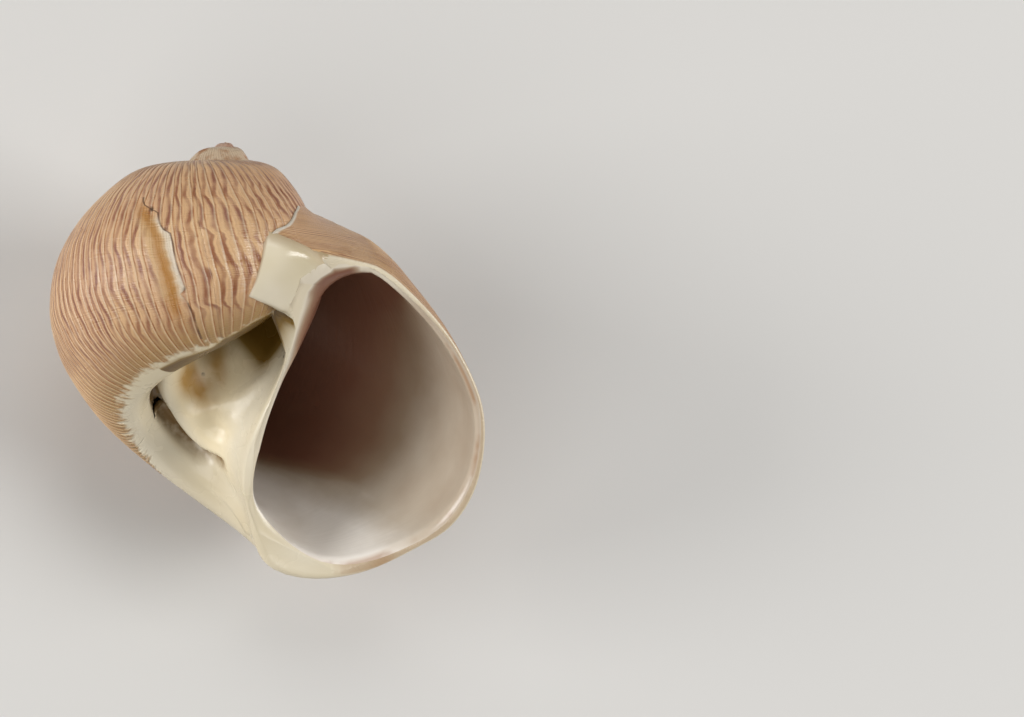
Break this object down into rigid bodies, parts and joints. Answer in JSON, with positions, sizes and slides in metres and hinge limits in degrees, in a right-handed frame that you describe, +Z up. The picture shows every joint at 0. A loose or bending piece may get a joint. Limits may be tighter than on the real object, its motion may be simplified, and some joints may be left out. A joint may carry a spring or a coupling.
{
  "type": "moon snail shell",
  "caption": "Globular spiral sea shell with a low spire, a wide deep mouth, a callus pad and an open umbilicus, lying on its back with the mouth upwards.",
  "frame": {"origin": "centre of the bounding box at its bottom, in the plane of the flat spot that the shell rests on", "axes": "+Z up, out of the mouth; X along the longest extent, with the lip side towards +X and the apex and early whorls towards -X"},
  "size_m": [0.0418, 0.0276, 0.0294],
  "materials": {
    "aragonite_shell": "satin shell with rust-brown axial stripes, glossy ivory callus and a purplish brown throat"
  },
  "bodies": {
    "root": {"moon_snail_shell": "aragonite_shell"}
  },
  "joints": []
}
